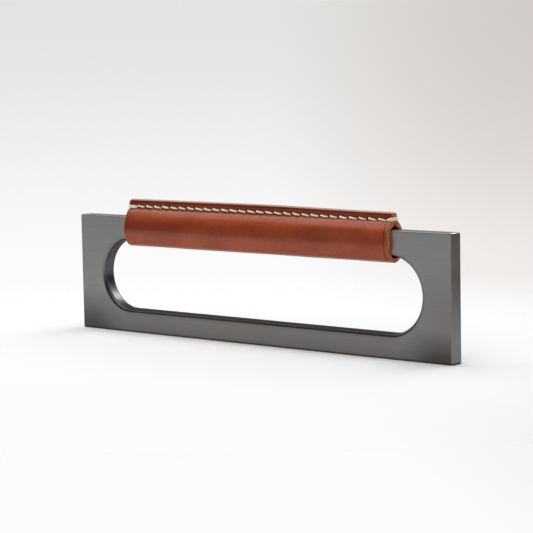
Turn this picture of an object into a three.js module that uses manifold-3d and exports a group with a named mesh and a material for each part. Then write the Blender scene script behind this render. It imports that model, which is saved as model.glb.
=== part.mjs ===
// A furniture pull: a flat metal plate with a long window, and a leather sleeve sewn round its top bar.
// Millimetres. X runs along the pull, Y through the plate and Z up. The origin is the middle of the base.
// The sleeve is one sheet folded round the bar. Its edges meet above the bar in an upright fin, which is
// saddle stitched: slanted slits, a strand through each from both sides, and a loop round each end.

import * as THREE from 'three'
import { mergeVertices } from 'three/addons/utils/BufferGeometryUtils.js'
import Module from 'manifold-3d'

const wasm = await Module()
wasm.setup()

// Plate
const plateLength = 160
const plateHeight = 40
const plateThickness = 5
const plateCornerRadius = 0.6
const plateEdgeBreak = 0.3

// Window, set by the bars and posts that it leaves
const topBarHeight = 8
const baseBarHeight = 8
const postWidth = 11.3
const windowEdgeRounding = 1.2

// Threaded holes in the base edge, bored with a pointed drill
const screwInset = 16
const screwBoreDiameter = 2.5
const screwBoreDepth = 7.5
const screwMouthChamfer = 0.3
const drillPointAngle = THREE.MathUtils.degToRad(118)

// Leather sheet: thinned towards its two stitched edges, and pressed where it turns over the bar's edges
const leatherThickness = 1.4
const pressedThickness = 1.05
const seamPlyThickness = 1.15
const barClearance = 0.1
const sleeveOverrun = 0.4
const slackUnderBar = 1
const shoulderAngle = THREE.MathUtils.degToRad(60)
const seamGap = 0.12

// Fin over the bar. Hand sewing drew it a little lower towards its right end.
const finHeight = 3.8
const finDroop = 0.6
const finFootRadius = 0.2
const finTopRounding = 0.65
const finEndRounding = 1.2

// Finish of the sheet's cut ends: a softened edge and a pressed line beside it
const cutEdgeRounding = 0.2
const creaseInset = 1.2
const creaseWidth = 0.6
const creaseDepth = 0.12

// Saddle stitching
const stitchPitch = 3.87
const firstHoleInset = 3.7
const lastHoleMargin = 2
const stitchInset = 2.4
const slitSlant = THREE.MathUtils.degToRad(66)
const strandSpacing = 1.1
const threadWidth = 0.65
const threadStand = 0.45
const slitClearance = 0.1
const loopSpacing = 0.5
const loopEdgeBreak = 0.15

// Sizes that follow
const barHalf = plateThickness / 2
const barBottom = plateHeight - topBarHeight
const windowHeight = plateHeight - topBarHeight - baseBarHeight
const windowMiddle = baseBarHeight + windowHeight / 2
const windowStraight = plateLength - 2 * postWidth - windowHeight
const windowRounding = Math.min(windowEdgeRounding, 0.45 * plateThickness)
const sleeveLength = windowStraight + 2 * sleeveOverrun
const sleeveEnd = sleeveLength / 2
const finHalf = seamGap / 2 + seamPlyThickness

// How far a cutting solid runs past the face that it cuts
const overshoot = 1

// Turns vertices and triangles into a solid, with its faces pointing out
function solidOf(positions, triangles) {
  const corner = (index) => new THREE.Vector3().fromArray(positions, 3 * index)
  const volume = triangles.reduce((sum, [a, b, c]) => sum + corner(a).dot(corner(b).cross(corner(c))), 0)
  const outward = volume > 0 ? triangles : triangles.map(([a, b, c]) => [a, c, b])
  const mesh = new wasm.Mesh({
    numProp: 3,
    vertProperties: new Float32Array(positions),
    triVerts: new Uint32Array(outward.flat()),
  })
  return new wasm.Manifold(mesh)
}

// Turns a closed geometry into a solid
function solidOfGeometry(geometry) {
  const bare = geometry.clone()
  bare.deleteAttribute('normal')
  bare.deleteAttribute('uv')
  const merged = mergeVertices(bare, 1e-5)
  const index = Array.from(merged.index.array)
  const triangles = []
  for (let i = 0; i < index.length; i += 3) {
    const [a, b, c] = index.slice(i, i + 3)
    if (a !== b && b !== c && c !== a) triangles.push([a, b, c])
  }
  return solidOf(Array.from(merged.attributes.position.array), triangles)
}

// Skins a row of outlines that have equal numbers of points, and closes both ends.
// place puts a point of the outline that stands at a given distance along the row.
function loft(outlines, place) {
  const clockwise = THREE.ShapeUtils.isClockWise(outlines[0].points)
  const rows = outlines.map(({ points }) => (clockwise ? [...points].reverse() : points))
  const positions = rows.flatMap((row, i) => row.flatMap((point) => place(point, outlines[i].at)))
  const count = rows[0].length
  const last = (rows.length - 1) * count
  const triangles = []
  for (let start = 0; start < last; start += count) {
    for (let i = 0; i < count; i++) {
      const a = start + i
      const b = start + ((i + 1) % count)
      triangles.push([a, b, b + count], [a, b + count, a + count])
    }
  }
  for (const [a, b, c] of THREE.ShapeUtils.triangulateShape(rows[0], [])) triangles.push([a, c, b])
  for (const [a, b, c] of THREE.ShapeUtils.triangulateShape(rows.at(-1), [])) {
    triangles.push([last + a, last + b, last + c])
  }
  return solidOf(positions, triangles)
}

// Two ways to stand an outline: across the plate's thickness, or across its length
const acrossThickness = (point, y) => [point.x, y, point.y]
const acrossLength = (point, x) => [x, point.x, point.y]

const unite = (solids) => solids.reduce((whole, solid) => whole.add(solid))
const unitAt = (angle) => new THREE.Vector2(Math.cos(angle), Math.sin(angle))

// Points on an arc, both ends included
function arc(centre, radius, from, to, steps) {
  return Array.from({ length: steps + 1 }, (_, i) => {
    return unitAt(THREE.MathUtils.lerp(from, to, i / steps)).multiplyScalar(radius).add(centre)
  })
}

// Outline of a bar with round ends between two points
function capsule(start, end, radius, steps) {
  const heading = end.clone().sub(start).angle()
  const quarter = Math.PI / 2
  return [
    ...arc(end, radius, heading - quarter, heading + quarter, steps),
    ...arc(start, radius, heading + quarter, heading + 3 * quarter, steps),
  ]
}

function meshOf(name, solid, material) {
  const { vertProperties, triVerts } = solid.getMesh()
  const geometry = new THREE.BufferGeometry()
  geometry.setAttribute('position', new THREE.BufferAttribute(new Float32Array(vertProperties), 3))
  geometry.setIndex(new THREE.BufferAttribute(new Uint32Array(triVerts), 1))
  geometry.computeVertexNormals()
  const mesh = new THREE.Mesh(geometry, material)
  mesh.name = name
  return mesh
}

// Plate blank: a rectangle with tight corners and broken edges, standing on its base
function plateBlank() {
  const left = -plateLength / 2
  const right = plateLength / 2
  const r = plateCornerRadius
  const shape = new THREE.Shape()
  shape.moveTo(left + r, 0)
  shape.lineTo(right - r, 0)
  shape.absarc(right - r, r, r, -Math.PI / 2, 0)
  shape.lineTo(right, plateHeight - r)
  shape.absarc(right - r, plateHeight - r, r, 0, Math.PI / 2)
  shape.lineTo(left + r, plateHeight)
  shape.absarc(left + r, plateHeight - r, r, Math.PI / 2, Math.PI)
  shape.lineTo(left, r)
  shape.absarc(left + r, r, r, Math.PI, 1.5 * Math.PI)
  const depth = plateThickness - 2 * plateEdgeBreak
  const geometry = new THREE.ExtrudeGeometry(shape, {
    depth,
    curveSegments: 4,
    bevelThickness: plateEdgeBreak,
    bevelSize: plateEdgeBreak,
    bevelOffset: -plateEdgeBreak,
    bevelSegments: 2,
  })
  geometry.translate(0, 0, -depth / 2)
  geometry.rotateX(Math.PI / 2)
  return solidOfGeometry(geometry)
}

// What the window takes out of the plate. It flares at both faces, which rounds the window's edges.
function windowCutter() {
  const archSteps = 36
  const edgeSteps = 5
  const start = new THREE.Vector2(-windowStraight / 2, windowMiddle)
  const end = new THREE.Vector2(windowStraight / 2, windowMiddle)
  const flare = Array.from({ length: edgeSteps + 1 }, (_, i) => {
    const turn = unitAt((i / edgeSteps) * (Math.PI / 2))
    return {
      at: barHalf - windowRounding + windowRounding * turn.y,
      radius: windowHeight / 2 + windowRounding * (1 - turn.x),
    }
  })
  const mouth = { at: barHalf + overshoot, radius: flare.at(-1).radius }
  const half = [...flare, mouth]
  const stages = [...half.map(({ at, radius }) => ({ at: -at, radius })).reverse(), ...half]
  const outlines = stages.map(({ at, radius }) => ({ at, points: capsule(start, end, radius, archSteps) }))
  return loft(outlines, acrossThickness)
}

// Blind bore with a chamfered mouth and a drill point, opening at the base
function screwBore(x) {
  const radius = screwBoreDiameter / 2
  const mouth = radius + screwMouthChamfer
  const point = radius / Math.tan(drillPointAngle / 2)
  const profile = [
    [0, -overshoot],
    [mouth, -overshoot],
    [mouth, 0],
    [radius, screwMouthChamfer],
    [radius, screwBoreDepth],
    [0, screwBoreDepth + point],
  ]
  const geometry = new THREE.LatheGeometry(profile.map(([r, z]) => new THREE.Vector2(r, z)), 20)
  geometry.rotateX(Math.PI / 2)
  geometry.translate(x, 0, 0)
  return solidOfGeometry(geometry)
}

function framePlate() {
  const screwX = plateLength / 2 - screwInset
  const cutters = [windowCutter(), screwBore(-screwX), screwBore(screwX)]
  return plateBlank().subtract(unite(cutters))
}

// The bar's corners that the sheet turns over, and the bend at the foot of the fin, in the plane across
// the bar: x there is the distance from the middle of the bar, y the height.
const barTopCorner = new THREE.Vector2(barHalf - plateEdgeBreak, plateHeight - plateEdgeBreak)
const barBottomCorner = new THREE.Vector2(barHalf - windowRounding, barBottom + windowRounding)
const topCornerRadius = plateEdgeBreak + barClearance
const bottomCornerRadius = windowRounding + barClearance
const footBendRadius = seamPlyThickness + finFootRadius

// Height at which the plies part: the straight shoulder touches both the foot bend and the corner arc
function footHeight() {
  const normal = unitAt(shoulderAngle)
  const reach = normal.dot(barTopCorner) + topCornerRadius + footBendRadius
  return (reach - normal.x * (seamGap / 2 + footBendRadius)) / normal.y
}

const finFoot = footHeight()
const finTopAt = (x) => finFoot + finHeight - finDroop * THREE.MathUtils.smoothstep(x, 0, sleeveEnd)

// Arc that closes the sheet under the bar. It touches the arcs round the bar's lower corners from outside,
// or is a plain half circle where the bar is too thin for that.
function bottomArc() {
  const inset = barBottomCorner.x
  const lowest = barBottom - slackUnderBar
  const hang = slackUnderBar - barClearance
  const innerHalf = barHalf + barClearance
  const tangent = (inset * inset + hang * hang) / (2 * hang) + bottomCornerRadius
  const radius = inset > hang ? tangent : innerHalf
  const centre = new THREE.Vector2(0, lowest + radius)
  const lean = inset > hang ? Math.atan2(centre.y - barBottomCorner.y, inset) : 0
  return { centre, radius, lean }
}

// One half of the sheet's inner face, from the fin's top to the middle of the underside. Each station has
// its point, the normal into the leather and the leather's thickness there.
function sheetStations(finTop) {
  const finTurns = [90, 60, 30, 0].map(THREE.MathUtils.degToRad)
  const fin = finTurns.map((turn) => ({
    point: new THREE.Vector2(seamGap / 2, finTop - finTopRounding * (1 - Math.sin(turn))),
    normal: new THREE.Vector2(1, 0),
    thickness: seamPlyThickness - finTopRounding * (1 - Math.cos(turn)),
    onTube: false,
  }))

  // Stations along an arc, or down a straight side where the radius is nothing and the centre moves
  const alongBend = ({ centre, radius, from, to, steps, thickness, endCentre = centre }) =>
    Array.from({ length: steps + 1 }, (_, i) => {
      const normal = unitAt(THREE.MathUtils.lerp(from, to, i / steps))
      return {
        point: centre.clone().lerp(endCentre, i / steps).addScaledVector(normal, radius),
        normal,
        thickness: thickness(i / steps),
        onTube: radius > 0,
      }
    })
  const bendCentre = new THREE.Vector2(seamGap / 2 + footBendRadius, finFoot)
  const underside = bottomArc()
  const fuller = leatherThickness - pressedThickness
  const sideTop = new THREE.Vector2(barHalf, barTopCorner.y)
  const sideBottom = new THREE.Vector2(barHalf, barBottomCorner.y)
  const tube = [
    {
      centre: bendCentre,
      radius: -footBendRadius,
      from: 0,
      to: shoulderAngle,
      steps: 5,
      thickness: () => seamPlyThickness,
    },
    {
      centre: barTopCorner,
      radius: topCornerRadius,
      from: shoulderAngle,
      to: 0,
      steps: 4,
      thickness: () => pressedThickness,
    },
    {
      centre: sideTop,
      endCentre: sideBottom,
      radius: barClearance,
      from: 0,
      to: 0,
      steps: 6,
      thickness: (along) => pressedThickness + fuller * Math.sin(Math.PI * along),
    },
    {
      centre: barBottomCorner,
      radius: bottomCornerRadius,
      from: 0,
      to: -underside.lean,
      steps: 2,
      thickness: () => pressedThickness,
    },
    {
      centre: underside.centre,
      radius: underside.radius,
      from: -underside.lean,
      to: -Math.PI / 2,
      steps: 7,
      thickness: (along) => pressedThickness + fuller * Math.sin((Math.PI / 2) * along),
    },
  ]

  const stations = [...fin, ...tube.flatMap(alongBend)]
  const tiny = 1e-4
  return stations.filter(({ point }, i) => i === 0 || point.distanceTo(stations[i - 1].point) > tiny)
}

// Closed outline of the folded sheet at one place along it, with its outer face pressed in by some depth
function sheetOutline(x, pressed) {
  const stations = sheetStations(finTopAt(x))
  const inner = stations.map(({ point }) => point)
  const outer = stations.map((station) => {
    const depth = station.thickness - pressed(station)
    return station.normal.clone().multiplyScalar(depth).add(station.point)
  })
  const mirrored = (points) => points.map(({ x, y }) => new THREE.Vector2(-x, y))
  return [
    ...outer,
    ...mirrored(outer.slice(0, -1)).reverse(),
    ...mirrored(inner),
    ...inner.slice(0, -1).reverse(),
  ]
}

// Sections from the middle of the sleeve to one end: the pressed line, then the softened cut edge
function endSections() {
  const onTube = (depth) => (station) => (station.onTube ? depth : 0)
  const everywhere = (depth) => () => depth
  const crease = sleeveEnd - creaseInset
  const soft = cutEdgeRounding
  return [
    { at: crease - creaseWidth / 2, pressed: onTube(0) },
    { at: crease, pressed: onTube(creaseDepth) },
    { at: crease + creaseWidth / 2, pressed: onTube(0) },
    { at: sleeveEnd - soft, pressed: everywhere(0) },
    { at: sleeveEnd - soft * (1 - Math.SQRT1_2), pressed: everywhere(soft * (1 - Math.SQRT1_2)) },
    { at: sleeveEnd, pressed: everywhere(soft) },
  ]
}

// What rounds off the fin's upper corner at one end: side is -1 or 1
function finCornerCutter(side) {
  const r = finEndRounding
  const finTop = finTopAt(side * sleeveEnd)
  const centre = new THREE.Vector2(sleeveEnd - r, finTop - r)
  const outline = [
    ...arc(centre, r, Math.PI / 2, 0, 5),
    new THREE.Vector2(sleeveEnd + overshoot, finTop - r),
    new THREE.Vector2(sleeveEnd + overshoot, finTop + overshoot),
    new THREE.Vector2(sleeveEnd - r, finTop + overshoot),
  ]
  const points = outline.map(({ x, y }) => new THREE.Vector2(side * x, y))
  const reach = finHalf + overshoot
  return loft([{ at: -reach, points }, { at: reach, points }], acrossThickness)
}

// Slits at an even distance from the fin's edge. A strand comes through each at its upper end and another
// at its lower end.
const stitchLineAt = (x) => finTopAt(x) - stitchInset
const slitSpan = sleeveLength - firstHoleInset - lastHoleMargin
const slitCount = Math.floor(slitSpan / stitchPitch) + 1
const strandStep = new THREE.Vector2(Math.sin(slitSlant), Math.cos(slitSlant)).multiplyScalar(
  strandSpacing / 2,
)
const slits = Array.from({ length: slitCount }, (_, i) => {
  const x = -sleeveEnd + firstHoleInset + i * stitchPitch
  const middle = new THREE.Vector2(x, stitchLineAt(x))
  return { middle, upper: middle.clone().add(strandStep), lower: middle.clone().sub(strandStep) }
})
const strandRadius = threadWidth / 2

// Solid through the fin along one slit, for the strands in it or for the slit itself
function throughFin({ upper, lower }, radius, reach) {
  const points = capsule(lower, upper, radius, 2)
  return loft([{ at: -reach, points }, { at: reach, points }], acrossThickness)
}

function leatherSleeve() {
  const rightEnd = endSections()
  const leftEnd = rightEnd.map(({ at, pressed }) => ({ at: -at, pressed })).reverse()
  const alongDroop = [0.2, 0.5, 0.8].map((share) => ({ at: share * sleeveEnd, pressed: () => 0 }))
  const sections = [...leftEnd, ...alongDroop, ...rightEnd]
  const outlines = sections.map(({ at, pressed }) => ({ at, points: sheetOutline(at, pressed) }))
  const folded = loft(outlines, acrossLength)
  const slitCutters = slits.map((slit) => throughFin(slit, strandRadius, finHalf + overshoot))
  const cutters = [...slitCutters, finCornerCutter(-1), finCornerCutter(1)]
  return folded.subtract(unite(cutters))
}

// One stitch lying flat against a face of the fin: face is -1 or 1. Its outer side is rounded, which is
// given as shares of the thread's stand over the leather and of its width.
function stitch(start, end, face) {
  const crown = [
    { rise: 0, width: 1 },
    { rise: 0.6, width: 1 },
    { rise: 1, width: 0.55 },
  ]
  const outlines = crown.map(({ rise, width }) => ({
    at: face * (finHalf + rise * threadStand),
    points: capsule(start, end, width * strandRadius, 3),
  }))
  return loft(outlines, acrossThickness)
}

// One strand looped round an end of the fin, from the last slit on one face to the other: side is -1 or 1
// and offset is the strand's height over the middle of the slit
function endLoop(slit, side, offset) {
  const inner = sleeveEnd
  const outer = sleeveEnd + threadStand
  const start = Math.abs(slit.middle.x)
  const wide = finHalf + threadStand
  const shape = new THREE.Shape()
  shape.moveTo(start, -wide)
  shape.lineTo(inner, -wide)
  shape.absarc(inner, -finHalf, threadStand, -Math.PI / 2, 0)
  shape.lineTo(outer, finHalf)
  shape.absarc(inner, finHalf, threadStand, 0, Math.PI / 2)
  shape.lineTo(start, wide)
  shape.lineTo(start, finHalf)
  shape.lineTo(inner, finHalf)
  shape.lineTo(inner, -finHalf)
  shape.lineTo(start, -finHalf)
  const depth = threadWidth - 2 * loopEdgeBreak
  const geometry = new THREE.ExtrudeGeometry(shape, {
    depth,
    curveSegments: 4,
    bevelThickness: loopEdgeBreak,
    bevelSize: loopEdgeBreak,
    bevelOffset: -loopEdgeBreak,
    bevelSegments: 1,
  })
  if (side < 0) geometry.rotateZ(Math.PI)
  geometry.translate(0, 0, slit.middle.y + offset - depth / 2)
  return solidOfGeometry(geometry)
}

function saddleStitching() {
  const pinRadius = strandRadius - slitClearance
  const pins = slits.map((slit) => throughFin(slit, pinRadius, finHalf + threadStand / 2))
  const stitches = slits.slice(1).flatMap((slit, i) => [
    stitch(slits[i].upper, slit.lower, -1),
    stitch(slits[i].lower, slit.upper, 1),
  ])
  const loops = [-loopSpacing / 2, loopSpacing / 2].flatMap((offset) => [
    endLoop(slits[0], -1, offset),
    endLoop(slits.at(-1), 1, offset),
  ])
  return unite([...pins, ...stitches, ...loops])
}

const darkenedMetal = new THREE.MeshStandardMaterial({ color: 0x717173, roughness: 0.38, metalness: 1 })
const redBrownLeather = new THREE.MeshStandardMaterial({ color: 0x8c4127, roughness: 0.42, metalness: 0 })
const waxedThread = new THREE.MeshStandardMaterial({ color: 0xe8dfc4, roughness: 0.65, metalness: 0 })

const group = new THREE.Group()
group.add(meshOf('frame_plate', framePlate(), darkenedMetal))
group.add(meshOf('leather_sleeve', leatherSleeve(), redBrownLeather))
group.add(meshOf('saddle_stitching', saddleStitching(), waxedThread))

export default group
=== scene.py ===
# Looks of a furniture pull: a brushed dark metal plate, a leather sleeve folded round its top bar, and
# the saddle stitching that closes the sleeve. Metres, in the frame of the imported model: X along the
# pull, Y through the plate and Z up. The front is the face towards -Y.

import math

import bmesh
import bpy
import numpy as np
from mathutils import Matrix, Vector


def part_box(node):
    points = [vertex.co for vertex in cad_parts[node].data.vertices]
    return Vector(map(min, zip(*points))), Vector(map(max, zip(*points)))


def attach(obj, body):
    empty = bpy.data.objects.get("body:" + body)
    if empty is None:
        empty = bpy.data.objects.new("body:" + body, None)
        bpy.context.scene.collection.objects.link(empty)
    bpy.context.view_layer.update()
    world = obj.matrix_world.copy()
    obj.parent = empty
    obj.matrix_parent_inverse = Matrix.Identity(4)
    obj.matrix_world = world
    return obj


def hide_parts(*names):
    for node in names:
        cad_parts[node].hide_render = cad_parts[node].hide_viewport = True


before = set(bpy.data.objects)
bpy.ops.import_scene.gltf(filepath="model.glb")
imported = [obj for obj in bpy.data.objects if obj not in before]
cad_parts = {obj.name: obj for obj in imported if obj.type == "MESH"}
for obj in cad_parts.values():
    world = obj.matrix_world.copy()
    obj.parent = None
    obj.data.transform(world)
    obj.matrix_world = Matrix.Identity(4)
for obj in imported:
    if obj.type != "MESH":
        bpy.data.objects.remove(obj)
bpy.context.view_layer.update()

MM = 0.001

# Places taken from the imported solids
plate_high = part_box("frame_plate")[1]
sleeve_low, sleeve_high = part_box("leather_sleeve")
BAR_HALF = plate_high.y
BAR_TOP = plate_high.z
SLEEVE_END = sleeve_high.x
FIN_TOP = sleeve_high.z

# Leather sheet and the bar that it is folded round
LEATHER = 1.4 * MM
PRESSED = 1.05 * MM
SEAM_PLY = 1.15 * MM
CLEARANCE = 0.1 * MM
SLACK = 1.0 * MM
SHOULDER = math.radians(60)
SEAM_GAP = 0.12 * MM
PLATE_EDGE_BREAK = 0.3 * MM
WINDOW_ROUNDING = 1.2 * MM
WINDOW_RADIUS = 12 * MM
WINDOW_HALF_STRAIGHT = 56.7 * MM
WINDOW_MIDDLE = 20 * MM
BAR_BOTTOM = sleeve_low.z + LEATHER + SLACK

# Fin: the two stitched plies that stand over the bar
FIN_DROOP = 0.6 * MM
FIN_FOOT_RADIUS = 0.2 * MM
FIN_TOP_ROUNDING = 0.65 * MM
FIN_CROWN = 0.06 * MM
LEFT_CORNER = 1.2 * MM
RIGHT_CORNER = 0.7 * MM
FIN_HALF = SEAM_GAP / 2 + SEAM_PLY
CONTOUR_SOFTNESS = 1.5 * MM
LEAST_REACH = 0.02 * MM
FLARE_HEIGHT = 1.2 * MM

# Finish of the sheet's cut ends
CUT_ROUNDING = 0.2 * MM
CREASE_INSET = 1.2 * MM
CREASE_WIDTH = 0.36 * MM
CREASE_DEPTH = 0.11 * MM

# Saddle stitching
PITCH = 3.87 * MM
FIRST_HOLE = 3.7 * MM
LAST_MARGIN = 2.0 * MM
STITCH_INSET = 2.4 * MM
SLIT_SLANT = math.radians(66)
STRAND_SPACING = 1.1 * MM
THREAD_RADIUS = 0.32 * MM
THREAD_LIFT = 0.17 * MM
THREAD_SUNK = 0.45 * MM
THREAD_WANDER = 0.05 * MM
TWIST_LENGTH = 2.4 * MM


def smooth(low, high, value):
    """Nought below low, one above high, and a smooth rise between."""
    share = np.clip((value - low) / (high - low), 0, 1)
    return share * share * (3 - 2 * share)


def bell(value, middle, width):
    """One at the middle, and falling off on both sides as a bell curve."""
    return np.exp(-((value - middle) / width) ** 2)


def fin_top_at(x):
    """Height of the fin's top, which falls a little over the right half."""
    return FIN_TOP - FIN_DROOP * smooth(0, SLEEVE_END, np.asarray(x, float))


def corner_drop(x):
    """How far the fin's upper corners fall off, rounded, towards the sleeve's ends."""
    x = np.asarray(x, float)
    radius = np.where(x < 0, LEFT_CORNER, RIGHT_CORNER)
    past = np.clip(np.abs(x) - (SLEEVE_END - radius), 0, radius)
    return radius - np.sqrt(np.maximum(radius**2 - past**2, 0))


def slit_places():
    """Middle, upper and lower point of each slit in the fin, as (x, z)."""
    count = math.floor((2 * SLEEVE_END - FIRST_HOLE - LAST_MARGIN) / PITCH + 1e-6) + 1
    step = np.array([math.sin(SLIT_SLANT), math.cos(SLIT_SLANT)]) * STRAND_SPACING / 2
    places = []
    for number in range(count):
        x = -SLEEVE_END + FIRST_HOLE + number * PITCH
        middle = np.array([x, float(fin_top_at(x)) - STITCH_INSET])
        places.append((middle, middle + step, middle - step))
    return places


SLITS = slit_places()

# Strands round the fin's ends: which slit, towards which side, and height in millimetres over the slit's
# middle at the slit and at the end. The right pair fans out from one point.
LOOP_STRANDS = [
    (0, -1, -0.42, -0.48),
    (0, -1, 0.0, -0.02),
    (-1, 1, -0.10, 0.02),
    (-1, 1, 0.06, 0.46),
]


# Section of the folded sheet

def arc_rows(centre, radius, start, end, steps):
    """Points and outward normals along an arc; a negative radius puts the points on its far side."""
    angles = np.linspace(start, end, steps + 1)
    normals = np.stack([np.cos(angles), np.sin(angles)], axis=1)
    return np.array(centre) + radius * normals, normals


def foot_height(foot_bend, corner, corner_radius):
    """Height at which the plies part, where the shoulder touches both the foot bend and the corner."""
    normal = np.array([math.cos(SHOULDER), math.sin(SHOULDER)])
    reach = normal @ corner + corner_radius + foot_bend
    return (reach - normal[0] * (SEAM_GAP / 2 + foot_bend)) / normal[1]


def half_section():
    """One half of the fold, from the seam's top to the middle of the underside.

    Rows of the inner and the outer face, and how far each row moves with the fin's top.
    """
    corner = np.array([BAR_HALF - PLATE_EDGE_BREAK, BAR_TOP - PLATE_EDGE_BREAK])
    corner_radius = PLATE_EDGE_BREAK + CLEARANCE
    low_corner = np.array([BAR_HALF - WINDOW_ROUNDING, BAR_BOTTOM + WINDOW_ROUNDING])
    low_radius = WINDOW_ROUNDING + CLEARANCE
    foot_bend = SEAM_PLY + FIN_FOOT_RADIUS
    foot = foot_height(foot_bend, corner, corner_radius)

    hang = SLACK - CLEARANCE
    inset = low_corner[0]
    under_radius = (inset**2 + hang**2) / (2 * hang) + low_radius
    under_centre = np.array([0, BAR_BOTTOM - SLACK + under_radius])
    lean = math.atan2(under_centre[1] - low_corner[1], inset)

    fin_heights = np.linspace(FIN_TOP - FIN_TOP_ROUNDING, foot, 25)
    fin_points = np.stack([np.full_like(fin_heights, SEAM_GAP / 2), fin_heights], axis=1)
    fin_normals = np.tile([1.0, 0.0], (len(fin_heights), 1))

    bend = arc_rows([SEAM_GAP / 2 + foot_bend, foot], -foot_bend, 0, SHOULDER, 7)
    top = arc_rows(corner, corner_radius, SHOULDER, 0, 8)
    shares = np.linspace(0, 1, 6)[1:-1, None]
    shoulder_points = bend[0][-1] * (1 - shares) + top[0][0] * shares
    shoulder_normals = np.tile(bend[1][-1], (len(shares), 1))
    side_shares = np.linspace(0, 1, 13)[1:-1, None]
    low = arc_rows(low_corner, low_radius, 0, -lean, 5)
    side_points = top[0][-1] * (1 - side_shares) + low[0][0] * side_shares
    side_normals = np.tile([1.0, 0.0], (len(side_shares), 1))
    under = arc_rows(under_centre, under_radius, -lean, -math.pi / 2, 13)

    fuller = LEATHER - PRESSED
    thickness = np.concatenate([
        np.full(len(fin_points), SEAM_PLY),
        np.full(len(bend[0]) - 1, SEAM_PLY),
        np.linspace(SEAM_PLY, PRESSED, len(shares) + 2)[1:-1],
        np.full(len(top[0]), PRESSED),
        PRESSED + fuller * np.sin(math.pi * side_shares[:, 0]),
        np.full(len(low[0]), PRESSED),
        PRESSED + fuller * np.sin(np.linspace(0, math.pi / 2, len(under[0])))[1:],
    ])
    points = np.concatenate([
        fin_points, bend[0][1:], shoulder_points, top[0], side_points, low[0], under[0][1:],
    ])
    normals = np.concatenate([
        fin_normals, bend[1][1:], shoulder_normals, top[1], side_normals, low[1], under[1][1:],
    ])
    follow = np.clip((points[:, 1] - foot) / (FIN_TOP - foot), 0, 1)
    follow[len(fin_points):] = 0
    return {
        "inner": points,
        "outer": points + normals * thickness[:, None],
        "follow": follow,
        "foot": foot,
        "fin_rows": len(fin_points),
    }


def crown_rows():
    """Outer rows over one ply's top: from the seam out to the rounding, then over it."""
    flat = np.linspace(0, SEAM_PLY - FIN_TOP_ROUNDING, 5)
    fall = FIN_CROWN * (flat / SEAM_PLY) ** 2
    flat_points = np.stack([SEAM_GAP / 2 + flat, FIN_TOP - fall], axis=1)
    flat_normals = np.tile([0.0, 1.0], (len(flat), 1))
    centre = [FIN_HALF - FIN_TOP_ROUNDING, FIN_TOP - FIN_TOP_ROUNDING - fall[-1]]
    round_points, round_normals = arc_rows(centre, FIN_TOP_ROUNDING, math.pi / 2, 0, 5)
    points = np.concatenate([flat_points, round_points[1:-1]])
    normals = np.concatenate([flat_normals, round_normals[1:-1]])
    return points, normals


def softened(points, first):
    """Rounds the tube's outer contour, which bridges the bar's edges more gently than the inner one."""
    mirrored = points[-2::-1] * [-1, 1]
    whole = np.concatenate([points, mirrored])
    steps = np.linalg.norm(np.diff(whole, axis=0), axis=1)
    run = np.concatenate([[0], np.cumsum(steps)])
    spacing = np.gradient(run)
    soft = points.copy()
    for row in range(first, len(points)):
        reach = CONTOUR_SOFTNESS * smooth(run[first], run[first] + 1.6 * CONTOUR_SOFTNESS, run[row])
        if reach > LEAST_REACH:
            weights = spacing * bell(run, run[row], reach)
            soft[row] = weights @ whole / weights.sum()
    return soft


def outer_half():
    """Outer face of one half from the seam's top, with distances along it and below the fin's foot."""
    section = half_section()
    crown, crown_normals = crown_rows()
    flare_row = int(np.argmax(section["outer"][:, 1] < section["foot"] + FLARE_HEIGHT))
    outer = softened(section["outer"], flare_row)
    turned = np.gradient(outer, axis=0)
    turned /= np.linalg.norm(turned, axis=1)[:, None]
    outer_normals = np.stack([-turned[:, 1], turned[:, 0]], axis=1)
    outer_normals[:flare_row] = [1, 0]
    outer_normals[-1] = [0, -1]
    points = np.concatenate([crown, outer])
    normals = np.concatenate([crown_normals, outer_normals])
    follow = np.concatenate([np.ones(len(crown)), section["follow"]])
    run = np.concatenate([[0], np.cumsum(np.linalg.norm(np.diff(points, axis=0), axis=1))])
    foot_row = len(crown) + section["fin_rows"] - 1
    return {
        "points": points,
        "normals": normals,
        "follow": follow,
        "below": run - run[foot_row],
        "run": run,
        "crown": len(crown),
        "section": section,
    }


# Where the sheet is sampled along its length: closely this far from each slit's middle, and at these
# distances from each end
SLIT_REACH = 0.72 * MM
END_DISTANCES = np.array([0, 0.03, 0.08, 0.14, 0.2, 0.35, 0.5, 0.7, 0.9, 1.05, 1.2, 1.35, 1.5]) * MM
LEAST_STEP = 0.02 * MM


def length_stations():
    """Close together round each slit and at both ends, and wider between."""
    first_slit = SLITS[0][0][0]
    near = np.linspace(-SLIT_REACH, SLIT_REACH, 9)
    between_slits = np.linspace(SLIT_REACH, PITCH - SLIT_REACH, 7)[1:-1]
    marks = [first_slit + number * PITCH + near for number in range(len(SLITS))]
    marks += [first_slit + number * PITCH + between_slits for number in range(len(SLITS) - 1)]
    for side, slit in ((-1, SLITS[0]), (1, SLITS[-1])):
        last = abs(slit[0][0]) + SLIT_REACH
        marks.append(side * (SLEEVE_END - END_DISTANCES))
        marks.append(side * np.linspace(last, SLEEVE_END - END_DISTANCES[-1], 8)[1:-1])
    stations = np.unique(np.round(np.concatenate(marks), 7))
    keep = [stations[0]]
    for station in stations[1:]:
        if station - keep[-1] > LEAST_STEP:
            keep.append(station)
    keep[-1] = SLEEVE_END
    return np.array(keep)


def segment_distance(x, z, start, end):
    """Distance in the plane of the fin from each point to a line between two points."""
    run = end - start
    share = ((x - start[0]) * run[0] + (z - start[1]) * run[1]) / (run @ run)
    share = np.clip(share, 0, 1)
    return np.hypot(x - start[0] - share * run[0], z - start[1] - share * run[1])


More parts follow.
